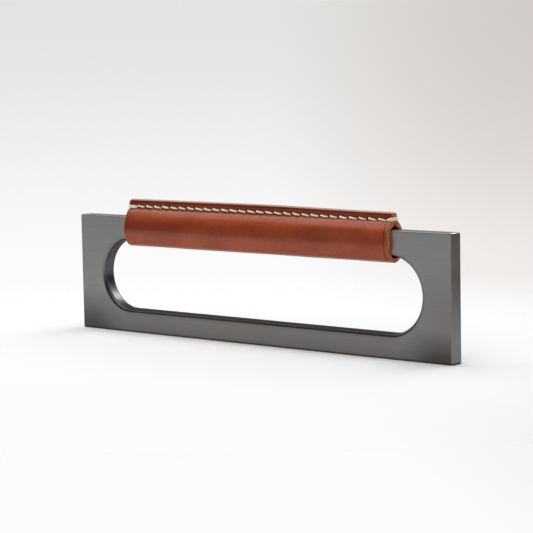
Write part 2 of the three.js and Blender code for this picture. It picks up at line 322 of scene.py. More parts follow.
def gentle_waves(x, run, seed):
    """Slow unevenness of a hand-folded sheet, about one high."""
    source = np.random.default_rng(seed)
    total = np.zeros(np.broadcast(x, run).shape)
    for _ in range(7):
        along = source.uniform(40, 330)
        around = source.uniform(-260, 260)
        total += np.sin(along * x + around * run + source.uniform(0, 2 * math.pi))
    return total / 4


# Relief of the outer face round the stitching
PIT_DEPTH = 0.42 * MM
PIT_BOTTOM = 0.16 * MM
PIT_RIM = 0.52 * MM
GROOVE_DEPTH = 0.08 * MM
GROOVE_BOTTOM = 0.15 * MM
GROOVE_SHADE = 0.2 * MM
GROOVE_RIM = 0.5 * MM
LIP_HEIGHT = 0.02 * MM
LIP_DISTANCE = 0.62 * MM
LIP_WIDTH = 0.16 * MM
PUCKER_HEIGHT = 0.06 * MM
PUCKER_MIDDLE = 0.35 * MM
PUCKER_WIDTH = 0.75 * MM
DENT_DEPTH = 0.05 * MM
DENT_MIDDLE = 0.15 * MM
DENT_LENGTH = 0.55 * MM
DENT_WIDTH = 0.5 * MM


def seam_relief(x, z, below, side):
    """Height of the outer face round the stitching, and how deep in shade each point lies."""
    height = np.zeros(x.shape)
    shade = np.zeros(x.shape)
    source = np.random.default_rng(11 + side)
    for number, (middle, upper, lower) in enumerate(SLITS):
        pit = 1 - smooth(PIT_BOTTOM, PIT_RIM, segment_distance(x, z, lower, upper))
        height -= PIT_DEPTH * pit
        shade = np.maximum(shade, pit)
        if number + 1 < len(SLITS):
            following = SLITS[number + 1]
            start, end = (upper, following[2]) if side < 0 else (lower, following[1])
            from_stitch = segment_distance(x, z, start, end)
            height -= GROOVE_DEPTH * (1 - smooth(GROOVE_BOTTOM, GROOVE_RIM, from_stitch))
            height += LIP_HEIGHT * bell(from_stitch, LIP_DISTANCE, LIP_WIDTH)
            shade = np.maximum(shade, 0.55 * (1 - smooth(GROOVE_SHADE, GROOVE_RIM, from_stitch)))
            swell = source.uniform(0.75, 1.25)
            along = (x - middle[0]) / PITCH
            pucker = np.where((along > 0) & (along < 1), np.sin(math.pi * along) ** 2, 0)
            height += PUCKER_HEIGHT * swell * pucker * bell(below, PUCKER_MIDDLE, PUCKER_WIDTH)
        dent = bell(x, lower[0], DENT_LENGTH) * bell(below, DENT_MIDDLE, DENT_WIDTH)
        height -= DENT_DEPTH * dent
        shade = np.maximum(shade, 0.35 * dent)
    return height, shade


# Slow swellings of the outer face: height, middle and width, measured down from the fin's foot. The loose
# sheet is widest low down, the left end hugs the bar, and the right end stands off its sides.
SAG = (0.32 * MM, 8.2 * MM, 2.0 * MM)
TIGHT_SHOULDER = (-0.22 * MM, 2.8 * MM, 1.7 * MM)
TIGHT_UNDERSIDE = (-0.16 * MM, 9.8 * MM, 1.5 * MM)
LOOSE_SHOULDER = (0.05 * MM, 1.5 * MM, 0.9 * MM)
LOOSE_SIDE = (0.1 * MM, 6.5 * MM, 2.6 * MM)
BULGED_SIDE = (0.28 * MM, 3.8 * MM, 1.6 * MM)
WAVE_HEIGHT = 0.05 * MM
TUBE_START = (-0.3 * MM, 1.2 * MM)

# The ply that the stitches puff out just below them: its height, and where that rises and dies away
PUFF_HEIGHT = 0.42 * MM
PUFF_RISE = (-0.75 * MM, -0.1 * MM)
PUFF_FALL = (0.3 * MM, 3.5 * MM)


def swelling(below, shape):
    """Height of a slow swelling at a distance below the fin's foot."""
    height, middle, width = shape
    return height * bell(below, middle, width)


def sheet_relief(x, half, side):
    """Everything that lifts or presses the outer face of one half of the sheet."""
    z = half["points"][:, 1] + half["follow"] * (fin_top_at(x) - FIN_TOP - corner_drop(x))
    below = np.broadcast_to(half["below"], z.shape)
    x_all = np.broadcast_to(x, z.shape)
    height, shade = seam_relief(x_all, z, below, side)
    height[:, : half["crown"]] = 0
    shade[:, : half["crown"]] = 0

    on_tube = smooth(*TUBE_START, below)
    height += WAVE_HEIGHT * on_tube * gentle_waves(x_all, half["run"], 3 + side)
    crease = bell(np.abs(x_all), SLEEVE_END - CREASE_INSET, CREASE_WIDTH)
    crease *= np.where(x_all < 0, 0.3, 1) * on_tube
    height -= CREASE_DEPTH * crease
    shade = np.maximum(shade, 0.85 * crease)

    height += PUFF_HEIGHT * smooth(*PUFF_RISE, below) * (1 - smooth(*PUFF_FALL, below))
    height += swelling(below, SAG)
    tight = 1 - smooth(-SLEEVE_END, -0.45 * SLEEVE_END, x_all)
    height += tight * (swelling(below, TIGHT_SHOULDER) + swelling(below, TIGHT_UNDERSIDE))
    loose = smooth(0.55 * SLEEVE_END, SLEEVE_END, x_all)
    height += loose * (swelling(below, LOOSE_SHOULDER) + swelling(below, LOOSE_SIDE))
    bulged = smooth(-0.1 * SLEEVE_END, 0.9 * SLEEVE_END, x_all)
    height += bulged * swelling(below, BULGED_SIDE)

    past = np.clip(np.abs(x_all) - (SLEEVE_END - CUT_ROUNDING), 0, CUT_ROUNDING)
    height -= CUT_ROUNDING - np.sqrt(np.maximum(CUT_ROUNDING**2 - past**2, 0))
    return z, height, shade


# Material slots of the sleeve, how far above the fin's foot its dry leather begins, and how many rows of
# the outer face lie over one row of the plainer inner face
GLAZED, CUT, DRY = 0, 1, 2
DRY_ABOVE = 0.7 * MM
ROWS_PER_INNER_ROW = 4

# Fades of the painted parts: from the end, down the sheet from the crown, and below the fin's foot
CUT_FADE = (0.05 * MM, 0.55 * MM)
BURNISH_MIDDLE = 0.1 * MM
BURNISH_WIDTH = 0.2 * MM
CROWN_FADE = (-0.42 * MM, -0.12 * MM)
FIN_FADE = (-0.6 * MM, 0.5 * MM)
MASKS = ("burnish", "shade", "cut", "flesh", "fin", "crown")


def painted_parts(half, stations):
    """How much of each special colour lies where on one half's outer face."""
    shape = (len(stations), len(half["points"]))
    end_distance = (SLEEVE_END - np.abs(stations))[:, None]
    below_crown = half["run"] - half["run"][half["crown"]]
    shares = {
        "burnish": bell(below_crown, BURNISH_MIDDLE, BURNISH_WIDTH),
        "cut": 1 - smooth(*CUT_FADE, end_distance),
        "fin": 1 - smooth(*FIN_FADE, half["below"]),
        "crown": 1 - smooth(*CROWN_FADE, below_crown),
    }
    return {name: np.broadcast_to(share, shape) for name, share in shares.items()}


def sleeve_points(half, stations, kept):
    """Points and masks of both halves, and the numbers of the outer and the inner points by side."""
    section = half["section"]
    painted = painted_parts(half, stations)
    inner_rows = [row - half["crown"] for row in kept]
    x = stations[:, None]
    positions = []
    masks = {name: [] for name in MASKS}

    def lay(y, z, shares):
        start = sum(len(part) for part in positions)
        positions.append(np.stack([np.broadcast_to(x, z.shape), y, z], axis=-1).reshape(-1, 3))
        for name, parts in masks.items():
            parts.append(np.broadcast_to(shares.get(name, 0.0), z.shape).ravel())
        return start + np.arange(z.size).reshape(z.shape)

    outer_ids = {}
    inner_ids = {}
    for side in (-1, 1):
        z, height, shade = sheet_relief(x, half, side)
        y_out = side * (half["points"][:, 0] + half["normals"][:, 0] * height)
        z_out = z + half["normals"][:, 1] * height
        outer_ids[side] = lay(y_out, z_out, {**painted, "shade": shade})

        inner = section["inner"][inner_rows]
        z_in = inner[:, 1] + section["follow"][inner_rows] * (fin_top_at(x) - FIN_TOP - corner_drop(x))
        inner_ids[side] = lay(np.broadcast_to(side * inner[:, 0], z_in.shape), z_in, {"flesh": 1.0})
    masks = {name: np.concatenate(parts) for name, parts in masks.items()}
    return np.concatenate(positions), masks, outer_ids, inner_ids


def lattice_faces(lattice, flip):
    """Four-sided faces over a lattice of point numbers."""
    a = lattice[:-1, :-1].ravel()
    b = lattice[:-1, 1:].ravel()
    c = lattice[1:, 1:].ravel()
    d = lattice[1:, :-1].ravel()
    return np.stack([a, d, c, b] if flip else [a, b, c, d], axis=1).tolist()


def cap_faces(outer, inner, picks):
    """Faces over both ends; each spans one inner step and all outer points between two picks."""
    faces = []
    for end, flip in ((0, True), (-1, False)):
        for step in range(len(picks) - 1):
            strip = list(outer[end, picks[step] : picks[step + 1] + 1])
            back = [inner[end, step + 1], inner[end, step]]
            ring = strip + [point for point in back if point not in strip]
            faces.append(ring[::-1] if flip else ring)
    return faces


def build_sleeve():
    """The folded sheet as one closed mesh, with masks for its painted parts and a slot for each finish."""
    half = outer_half()
    stations = length_stations()
    rows = len(half["points"])
    kept = list(range(rows - 1, half["crown"], -ROWS_PER_INNER_ROW))[::-1]
    positions, masks, outer_ids, inner_ids = sleeve_points(half, stations, kept)

    # The two halves meet on the middle line, where the back half's own points are left out
    outer = np.concatenate([outer_ids[-1], outer_ids[1][:, -2::-1]], axis=1)
    seam = {side: outer_ids[side][:, :1] for side in (-1, 1)}
    inner = np.concatenate([seam[-1], inner_ids[-1], inner_ids[1][:, -2::-1], seam[1]], axis=1)
    middle = rows - 1
    picks = [0] + kept + [2 * middle - row for row in kept[-2::-1]] + [2 * middle]
    sides = lattice_faces(outer, False) + lattice_faces(inner, True)
    faces = sides + cap_faces(outer, inner, picks)

    mesh = bpy.data.meshes.new("leather_wrap")
    mesh.from_pydata(positions.tolist(), [], faces)
    for name, shares in masks.items():
        layer = mesh.attributes.new(name, "FLOAT", "POINT")
        layer.data.foreach_set("value", shares.astype(np.float32))
    mesh.polygons.foreach_set("use_smooth", [True] * len(faces))

    slots = np.full(len(faces), GLAZED, np.int32)
    across = np.arange(2 * rows - 2)
    from_top = np.minimum(across, across[::-1])
    on_fin = (from_top >= half["crown"]) & (half["below"][from_top + 1] < -DRY_ABOVE)
    outer_faces = len(across) * (len(stations) - 1)
    slots[:outer_faces] = np.tile(np.where(on_fin, DRY, GLAZED), len(stations) - 1)
    slots[len(sides):] = CUT
    mesh.polygons.foreach_set("material_index", slots)

    shaped = bmesh.new()
    shaped.from_mesh(mesh)
    unused = [vertex for vertex in shaped.verts if not vertex.link_faces]
    bmesh.ops.delete(shaped, geom=unused, context="VERTS")
    bmesh.ops.recalc_face_normals(shaped, faces=shaped.faces)
    for edge in shaped.edges:
        if len(edge.link_faces) == 2:
            cuts = [face.material_index == CUT for face in edge.link_faces]
            edge.smooth = cuts[0] == cuts[1]
    shaped.to_mesh(mesh)
    shaped.free()
    return bpy.data.objects.new("leather_wrap", mesh)


# Stitching

def through(points, samples):
    """A smooth curve through a list of points, by Catmull-Rom spans."""
    points = np.array(points, float)
    padded = np.concatenate([[2 * points[0] - points[1]], points, [2 * points[-1] - points[-2]]])
    curve = []
    for span in range(len(points) - 1):
        p0, p1, p2, p3 = padded[span : span + 4]
        for share in np.linspace(0, 1, samples, endpoint=False):
            curve.append(0.5 * (
                2 * p1
                + (p2 - p0) * share
                + (2 * p0 - 5 * p1 + 4 * p2 - p3) * share**2
                + (3 * p1 - p0 - 3 * p2 + p3) * share**3
            ))
    curve.append(points[-1])
    return np.array(curve)


def plied_strand(path, radius, phase):
    """Vertices and faces of a twisted three-ply thread along a path."""
    sides = 15
    off_path = [0.3, 0.2, 0.93]
    tangents = np.gradient(path, axis=0)
    tangents /= np.linalg.norm(tangents, axis=1)[:, None]
    across = np.cross(tangents[0], off_path)
    across /= np.linalg.norm(across)
    run = np.concatenate([[0], np.cumsum(np.linalg.norm(np.diff(path, axis=0), axis=1))])
    angles = np.linspace(0, 2 * math.pi, sides, endpoint=False)
    vertices = []
    for point, tangent, distance in zip(path, tangents, run):
        across = across - tangent * (across @ tangent)
        across /= np.linalg.norm(across)
        other = np.cross(tangent, across)
        turn = phase + 2 * math.pi * distance / TWIST_LENGTH
        lobes = 0.8 + 0.2 * np.abs(np.cos(1.5 * (angles - turn)))
        for angle, size in zip(angles, radius * lobes):
            vertices.append(point + size * (math.cos(angle) * across + math.sin(angle) * other))
    faces = [list(range(sides))[::-1]]
    for ring in range(len(path) - 1):
        for side in range(sides):
            a = ring * sides + side
            b = ring * sides + (side + 1) % sides
            faces.append([a, b, b + sides, a + sides])
    last = (len(path) - 1) * sides
    faces.append([last + side for side in range(sides)])
    return vertices, faces


def stitch_path(start, end, face):
    """One stitch along a face of the fin, from hole to hole: face is -1 or 1."""
    shares = np.linspace(0, 1, 21)
    rise = 1 - np.abs(2 * shares - 1) ** 5
    out = FIN_HALF - THREAD_SUNK + (THREAD_SUNK + THREAD_LIFT) * rise
    flat = start[None, :] * (1 - shares[:, None]) + end[None, :] * shares[:, None]
    return np.stack([flat[:, 0], face * out, flat[:, 1]], axis=1)


def loop_path(slit, side, at_slit, at_end):
    """One strand round an end of the fin, out of the last slit on one face and into it on the other.

    Its height over the slit's middle is given at the slit and at the fin's end.
    """
    x, z = slit[0]
    lift = FIN_HALF + THREAD_LIFT
    sunk = FIN_HALF - THREAD_SUNK
    end = side * SLEEVE_END
    tip = end + side * THREAD_LIFT
    low = z + at_slit
    wide = z + at_end
    front = [
        [x + side * 0.1 * MM, -sunk, low],
        [x + side * 0.55 * MM, -lift, low],
        [end - side * 0.75 * MM, -lift, 0.35 * low + 0.65 * wide],
        [end - side * 0.1 * MM, -lift + 0.12 * MM, wide],
        [tip, -0.6 * FIN_HALF, wide],
    ]
    back = [[px, -py, pz] for px, py, pz in front[::-1]]
    return through(front + [[tip + side * 0.03 * MM, 0, wide]] + back, 6)


def build_stitching():
    """Every visible strand of the saddle stitching, as one mesh."""
    source = np.random.default_rng(5)
    vertices = []
    faces = []

    def lay(path):
        radius = THREAD_RADIUS * source.uniform(0.95, 1.05)
        points, sides = plied_strand(path, radius, source.uniform(0, 2 * math.pi))
        start = len(vertices)
        vertices.extend(points)
        faces.extend([[start + index for index in side] for side in sides])

    for this, following in zip(SLITS, SLITS[1:]):
        wander = source.uniform(-THREAD_WANDER, THREAD_WANDER, 4)
        lay(stitch_path(this[1] + wander[:2], following[2] + wander[2:], -1))
        lay(stitch_path(this[2] - wander[:2], following[1] - wander[2:], 1))
    for slit, side, at_slit, at_end in LOOP_STRANDS:
        lay(loop_path(SLITS[slit], side, at_slit * MM, at_end * MM))

    mesh = bpy.data.meshes.new("waxed_stitching")
    mesh.from_pydata([tuple(vertex) for vertex in vertices], [], faces)
    mesh.polygons.foreach_set("use_smooth", [True] * len(faces))
    return bpy.data.objects.new("waxed_stitching", mesh)


# Materials

METAL_DARKER = (0.264, 0.263, 0.263)
METAL_PALER = (0.312, 0.311, 0.306)
METAL_WARM = (0.252, 0.243, 0.232)
METAL_COOL = (0.242, 0.247, 0.250)
# painted shade for the faces' lower parts and the right post
METAL_PAINTED_SHADE = (0.090, 0.086, 0.080)
# painted contact shadow along the plate's bottom edge
METAL_PAINTED_CONTACT_SHADOW = (0.030, 0.027, 0.024)
# painted shade for the window's low rim
METAL_PAINTED_SILL_SHADE = (0.050, 0.047, 0.044)
# painted highlight for the bar beside the sleeve's ends
METAL_PAINTED_HIGHLIGHT = (0.62, 0.56, 0.50)
METAL_HALO = (0.165, 0.142, 0.127)
METAL_WORN = (0.30, 0.19, 0.13)
END_BROWN = (0.135, 0.108, 0.098)
END_VIOLET = (0.150, 0.138, 0.146)
PATINA = (0.090, 0.087, 0.093)


# Where the metal's tone changes: two places, and the share of the tint at each
# painted shade low on the faces and on the right post
FOOT_RISE = (0, 17 * MM, 0.5, 0)
FOOT_OUTWARD = (58 * MM, 76 * MM, 0.9, 2.1)
RIGHT_POST_RISE = (14 * MM, 36 * MM, 0.34, 0)
RIGHT_POST_OUTWARD = (54 * MM, 78 * MM)
# painted contact shadow along the plate's bottom edge
CONTACT_SHADOW_RISE = (0.25 * MM, 0.8 * MM, 0.9, 0)
# painted reflection of the floor low on the end faces
END_REFLECTION_RISE = (6 * MM, 26 * MM, 0.75, 0)
# painted shade on the window's low rim
SILL_RISE = (10 * MM, 13 * MM, 1, 0)
SILL_OUTWARD = (56 * MM, 64 * MM, 1, 0)
# painted highlight beside the sleeve's ends
BESIDE_SLEEVE = (SLEEVE_END + 0.2 * MM, SLEEVE_END + 1.3 * MM, 0.5, 0)
OUTER_EDGE = (0.16 * MM, 0.42 * MM, 1, 0)


def new_material(name):
    """A material with an empty node tree."""
    material = bpy.data.materials.new(name)
    material.use_nodes = True
    material.node_tree.nodes.clear()
    return material


def add(tree, kind, inputs=None, **settings):
    """Adds a shader node; an input is a value or another node's output."""
    made = tree.nodes.new("ShaderNode" + kind)
    for name, value in settings.items():
        setattr(made, name, value)
    for name, value in (inputs or {}).items():
        if isinstance(value, bpy.types.NodeSocket):
            tree.links.new(value, made.inputs[name])
        else:
            made.inputs[name].default_value = value
    return made


def calc(tree, operation, *values):
    """The result of one sum on numbers or outputs."""
    return add(tree, "Math", dict(enumerate(values)), operation=operation).outputs[0]


def diagonal(tree, first, second):
    """Length of the line that spans two lengths at right angles."""
    squares = calc(tree, "ADD", calc(tree, "POWER", first, 2.0), calc(tree, "POWER", second, 2.0))
    return calc(tree, "SQRT", squares)


def between(tree, value, low, high, start=0.0, end=1.0):
    """Maps a value smoothly from one range to another, and holds it at the ends."""
    made = add(tree, "MapRange", {
        "Value": value, "From Min": low, "From Max": high, "To Min": start, "To Max": end,
    }, interpolation_type="SMOOTHSTEP")
    return made.outputs["Result"]


def opaque(colour):
    """A written colour with its alpha, or an output as it is."""
    return colour if isinstance(colour, bpy.types.NodeSocket) else (*colour, 1)


def tint(tree, factor, first, second, blend="MIX"):
    """Mixes two colours, given as values or outputs."""
    inputs = {0: factor, 6: opaque(first), 7: opaque(second)}
    return add(tree, "Mix", inputs, data_type="RGBA", blend_type=blend).outputs[2]


def grain(tree, vector, scale, detail=3.0, roughness=0.5):
    """Cloudy noise at a scale in cycles per metre."""
    made = add(tree, "TexNoise", {
        "Vector": vector, "Scale": scale, "Detail": detail, "Roughness": roughness,
    })
    return made.outputs["Fac"]


def stretched(tree, vector, scales):
    """A place with its three parts scaled, to draw noise out in one direction."""
    return add(tree, "Mapping", {"Vector": vector, "Scale": scales}).outputs["Vector"]


def mask(tree, name):
    """The share that the mesh carries for one of its painted parts."""
    return add(tree, "Attribute", attribute_name=name, attribute_type="GEOMETRY").outputs["Fac"]


def object_place(tree):
    """Place on the object, in metres."""
    return add(tree, "TexCoord").outputs["Object"]


def finish_material(tree, shader):
    """Makes a shader the material's surface."""
    add(tree, "OutputMaterial", {"Surface": shader.outputs[0]})


def brushing(tree, place, endwise):
    """Fine and broad brush marks: along the plate on its faces, upright on its ends."""
    lengthwise = stretched(tree, place, (60, 1200, 4600))
    upright = stretched(tree, place, (1200, 4600, 90))
    along = add(tree, "Mix", {0: endwise, 4: lengthwise, 5: upright}, data_type="VECTOR").outputs[1]
    return grain(tree, along, 1.0, 3.0, 0.6), grain(tree, along, 0.25, 3.0, 0.55)


def painted_low_shade(tree, x, z, outward, endwise):
    """Painted shade: darker low down on the faces, most towards their ends, and on the right post."""
    foot = calc(tree, "MULTIPLY", between(tree, z, *FOOT_RISE), between(tree, outward, *FOOT_OUTWARD))
    post = calc(tree, "MULTIPLY", between(tree, z, *RIGHT_POST_RISE), between(tree, x, *RIGHT_POST_OUTWARD))
    return calc(tree, "MULTIPLY", calc(tree, "MAXIMUM", foot, post), calc(tree, "SUBTRACT", 1.0, endwise))


def from_outer_edge(tree, y, z, outward):
    """Distance to the nearest edge of the plate's outline."""
    from_face = calc(tree, "SUBTRACT", BAR_HALF, calc(tree, "ABSOLUTE", y))
    from_end = calc(tree, "SUBTRACT", plate_high.x, outward)
    from_top = calc(tree, "SUBTRACT", BAR_TOP, z)
    from_outline = calc(tree, "MINIMUM", from_end, calc(tree, "MINIMUM", from_top, z))
    return diagonal(tree, from_outline, from_face)


def outside_window(tree, z, outward):
    """Distance out from the window's wall, along the plate's face."""
    past_straight = calc(tree, "MAXIMUM", calc(tree, "SUBTRACT", outward, WINDOW_HALF_STRAIGHT), 0.0)
    from_middle = calc(tree, "SUBTRACT", z, WINDOW_MIDDLE)
    return calc(tree, "SUBTRACT", diagonal(tree, past_straight, from_middle), WINDOW_RADIUS)


def brushed_metal():
    """Dark metal: its flat faces are brushed paler, and the window's rim and walls keep the dark patina.
    Painted shade lies low on the faces, on the right post and on the window's low rim. A painted contact
    shadow runs along the base edge, a painted reflection lies low on the ends, and a painted highlight sits
    beside the sleeve.
    """
    material = new_material("dark_brushed_metal")
    tree = material.node_tree
    place = object_place(tree)
    x, y, z = add(tree, "SeparateXYZ", {"Vector": place}).outputs
    outward = calc(tree, "ABSOLUTE", x)
    normal = add(tree, "SeparateXYZ", {"Vector": add(tree, "NewGeometry").outputs["Normal"]})
    endwise = calc(tree, "GREATER_THAN", calc(tree, "ABSOLUTE", normal.outputs["X"]), 0.75)
    facewise = calc(tree, "SUBTRACT", 1.0, endwise)
    fine, broad = brushing(tree, place, endwise)
    clouds = grain(tree, place, 60)
    stains = grain(tree, stretched(tree, place, (1, 1, 0.7)), 130, 3.0, 0.55)

    colour = tint(tree, between(tree, fine, 0.25, 0.75), METAL_DARKER, METAL_PALER)
    colour = tint(tree, between(tree, broad, 0.3, 0.7, 0, 0.35), colour, METAL_WARM)
    colour = tint(tree, between(tree, clouds, 0.42, 0.7, 0, 0.3), colour, METAL_COOL)
    ends = tint(tree, between(tree, stains, 0.35, 0.65), END_BROWN, END_VIOLET)
    # painted reflection of the floor: paler and cooler low on the end faces
    ends = tint(tree, between(tree, z, *END_REFLECTION_RISE), ends, METAL_COOL)
    colour = tint(tree, endwise, colour, ends)
    # painted shade, darker low on the faces and on the right post
    colour = tint(tree, painted_low_shade(tree, x, z, outward, endwise), colour, METAL_PAINTED_SHADE)
    # painted contact shadow: a near-black line along the bottom edge
    colour = tint(tree, between(tree, z, *CONTACT_SHADOW_RISE), colour, METAL_PAINTED_CONTACT_SHADOW)

    # Patina left in the window, with painted shade making it wider and darker on its low rim, and a soft
    # brown halo round it
    low_side = calc(tree, "MULTIPLY", between(tree, z, *SILL_RISE), between(tree, outward, *SILL_OUTWARD))
    reach = between(tree, low_side, 0, 1, 0.72 * WINDOW_ROUNDING, 1.05 * WINDOW_ROUNDING)
    into_patina = calc(tree, "DIVIDE", outside_window(tree, z, outward), reach)
    colour = tint(tree, between(tree, into_patina, 0.9, 2.1, 0.6, 0), colour, METAL_HALO)
    inside = between(tree, into_patina, 0.1, 1.0, 1, 0)
    colour = tint(tree, inside, colour, PATINA)
    # painted shade on the window's low rim under the sleeve, with rougher metal there
    sill_shade = calc(tree, "MULTIPLY", inside, low_side)
    colour = tint(tree, sill_shade, colour, METAL_PAINTED_SILL_SHADE)

    # A painted highlight on the bar beside the sleeve's ends, and thin wear on the outer edges
    on_bar = calc(tree, "GREATER_THAN", z, BAR_BOTTOM)
    painted_highlight = calc(tree, "MULTIPLY", between(tree, outward, *BESIDE_SLEEVE), on_bar)
    colour = tint(tree, painted_highlight, colour, METAL_PAINTED_HIGHLIGHT)
    patchy = between(tree, grain(tree, place, 420), 0.3, 0.7, 0.25, 0.85)
    worn = calc(tree, "MULTIPLY", between(tree, from_outer_edge(tree, y, z, outward), *OUTER_EDGE), patchy)
    colour = tint(tree, worn, colour, METAL_WORN)

    rough = between(tree, fine, 0.25, 0.75, 0.29, 0.36)
    rough = calc(tree, "ADD", rough, calc(tree, "MULTIPLY", sill_shade, 0.16))
    tangent = add(tree, "CombineXYZ", {"X": facewise, "Y": 0.0, "Z": endwise})
    bump = add(tree, "Bump", {"Height": fine, "Strength": 0.12, "Distance": 0.004 * MM})
    shader = add(tree, "BsdfPrincipled", {
        "Base Color": colour,
        "Metallic": 1.0,
        "Roughness": rough,
        "Specular Tint": (0.42, 0.42, 0.43, 1),
        "Anisotropic": 0.3,
        "Tangent": tangent.outputs["Vector"],
        "Normal": bump.outputs["Normal"],
    })
    finish_material(tree, shader)
    return material


# Leather's dye, what lies over it with painted shade and highlight, and the raw cut
DYE_DEEPER = (0.325, 0.046, 0.0125)
DYE_BRIGHTER = (0.435, 0.076, 0.0190)
DYE_MOTTLE = (0.165, 0.024, 0.0095)
DYE_FIBRE = (0.37, 0.088, 0.034)
FLESH = (0.13, 0.055, 0.028)
# painted shade for the slits, stitch grooves, dents and end creases
PAINTED_HOLLOW_SHADE = (0.040, 0.009, 0.005)
# darker fin: partly its own dye, partly painted shade
FIN_DYE_AND_SHADE = (0.150, 0.024, 0.014)
BURNISHED = (0.022, 0.007, 0.007)
# painted highlight for the fin's top
CROWN_PAINTED_HIGHLIGHT = (0.42, 0.24, 0.19)
NEAR_CUT = (0.36, 0.11, 0.036)
CUT_DARKER = (0.54, 0.125, 0.036)
CUT_PALER = (0.80, 0.225, 0.062)
CUT_FIBRE = (0.28, 0.070, 0.022)

# Painted shade: the dye is multiplied by this along the middle of the side, between a fade from above and
# one from below
PAINTED_SIDE_SHADE = (0.71, 0.67, 0.72)
SIDE_SHADE_FROM_ABOVE = (40.2 * MM, 37.8 * MM)
SIDE_SHADE_FROM_BELOW = (33.2 * MM, 36.2 * MM)

THREAD_DARKER = (0.96, 0.83, 0.55)
THREAD_PALER = (0.98, 0.91, 0.70)
THREAD_FIBRE = (0.60, 0.48, 0.30)


def lay_over(tree, colour, share, name, over):
    """Lays a colour over another where the mesh carries a mask, at a share of the mask."""
    return tint(tree, calc(tree, "MULTIPLY", mask(tree, name), share), colour, over)


def glazed_leather(name, gloss):
    """Smooth red-brown leather: clouded dye, fine pores, darker burnished places, painted shade in the
    pressed hollows, along the side's middle and partly on the fin, and a painted highlight on the fin's
    crown.
    """
    material = new_material(name)
    tree = material.node_tree
    place = object_place(tree)
    clouds = grain(tree, stretched(tree, place, (0.55, 1, 1)), 150, 4.0, 0.6)
    mottle = grain(tree, place, 900, 4.0, 0.6)
    fibres = grain(tree, place, 5200, 2.0, 0.6)

    colour = tint(tree, between(tree, clouds, 0.32, 0.68), DYE_DEEPER, DYE_BRIGHTER)
    colour = tint(tree, between(tree, mottle, 0.42, 0.72, 0, 0.3), colour, DYE_MOTTLE)
    colour = tint(tree, between(tree, fibres, 0.5, 0.8, 0, 0.2), colour, DYE_FIBRE)
    z = add(tree, "SeparateXYZ", {"Vector": place}).outputs["Z"]
    # painted shade along the middle of the side
    from_above = between(tree, z, *SIDE_SHADE_FROM_ABOVE)
    from_below = between(tree, z, *SIDE_SHADE_FROM_BELOW)
    colour = tint(tree, calc(tree, "MULTIPLY", from_above, from_below), colour, PAINTED_SIDE_SHADE, "MULTIPLY")

    colour = lay_over(tree, colour, 1.0, "flesh", FLESH)
    # painted shade in the slits, under the stitches, in the dents and in the end creases
    colour = lay_over(tree, colour, 0.8, "shade", PAINTED_HOLLOW_SHADE)
    # darker fin: partly its own dye, partly painted shade
    colour = lay_over(tree, colour, 0.6, "fin", FIN_DYE_AND_SHADE)
    worn = between(tree, grain(tree, place, 700), 0.35, 0.7, 0.8, 1.0)
    colour = lay_over(tree, colour, worn, "burnish", BURNISHED)
    # painted highlight along the fin's top edge
    colour = lay_over(tree, colour, 0.85, "crown", CROWN_PAINTED_HIGHLIGHT)
    colour = lay_over(tree, colour, 0.7, "cut", NEAR_CUT)

    rough = between(tree, mottle, 0.3, 0.7, 0.31, 0.41)
    for part, change in (("flesh", 0.4), ("cut", 0.15), ("crown", -0.12)):
        rough = calc(tree, "ADD", rough, calc(tree, "MULTIPLY", mask(tree, part), change))

    pores = add(tree, "TexVoronoi", {"Vector": place, "Scale": 3600.0, "Randomness": 1.0})
    wrinkles = grain(tree, stretched(tree, place, (1.6, 1, 1)), 1500, 3.0, 0.55)
    height = calc(tree, "ADD", calc(tree, "MULTIPLY", pores.outputs["Distance"], 0.55), wrinkles)
    bump = add(tree, "Bump", {"Height": height, "Strength": 0.45, "Distance": 0.018 * MM})
    shader = add(tree, "BsdfPrincipled", {
        "Base Color": colour,
        "Roughness": rough,
        "Specular IOR Level": gloss,
        "Specular Tint": (1.0, 0.88, 0.78, 1),
        "Normal": bump.outputs["Normal"],
    })
    finish_material(tree, shader)
    return material


def cut_leather():
    """Raw cut end of the sheet: fibrous, and brighter than the dyed face."""
    material = new_material("cut_leather_edge")
    tree = material.node_tree
    place = object_place(tree)
    coarse = grain(tree, place, 1400, 4.0, 0.65)
    fine = grain(tree, place, 6500, 3.0, 0.6)
    colour = tint(tree, between(tree, coarse, 0.3, 0.7), CUT_DARKER, CUT_PALER)
    colour = tint(tree, between(tree, fine, 0.45, 0.75, 0, 0.45), colour, CUT_FIBRE)
    height = calc(tree, "ADD", coarse, calc(tree, "MULTIPLY", fine, 0.6))
    bump = add(tree, "Bump", {"Height": height, "Strength": 0.7, "Distance": 0.09 * MM})
    shader = add(tree, "BsdfPrincipled", {
        "Base Color": colour,
        "Roughness": 0.72,
        "Specular IOR Level": 0.35,
        "Normal": bump.outputs["Normal"],
    })
    finish_material(tree, shader)
    return material


def waxed_thread():
    """Cream waxed linen thread."""
    material = new_material("cream_waxed_thread")
    tree = material.node_tree
    place = object_place(tree)
    soft = grain(tree, place, 900)
    fibre = grain(tree, stretched(tree, place, (0.35, 1, 1)), 9000, 3.0, 0.6)
    colour = tint(tree, between(tree, soft, 0.3, 0.7), THREAD_DARKER, THREAD_PALER)
    colour = tint(tree, between(tree, fibre, 0.5, 0.8, 0, 0.35), colour, THREAD_FIBRE)
    bump = add(tree, "Bump", {"Height": fibre, "Strength": 0.5, "Distance": 0.04 * MM})
    shader = add(tree, "BsdfPrincipled", {
        "Base Color": colour,
        "Roughness": 0.42,
        "Sheen Weight": 0.3,
        "Normal": bump.outputs["Normal"],
    })
    finish_material(tree, shader)
    return material


# Stage: floor, light and camera

FLOOR_RADIUS = 3.0
FLOOR_WHITE = (0.905, 0.905, 0.905)
FLOOR_FADE = (0.08, 0.24)
SCREEN_GREY = (0.02, 0.02, 0.02)
SCREEN_RADIUS = 1.7

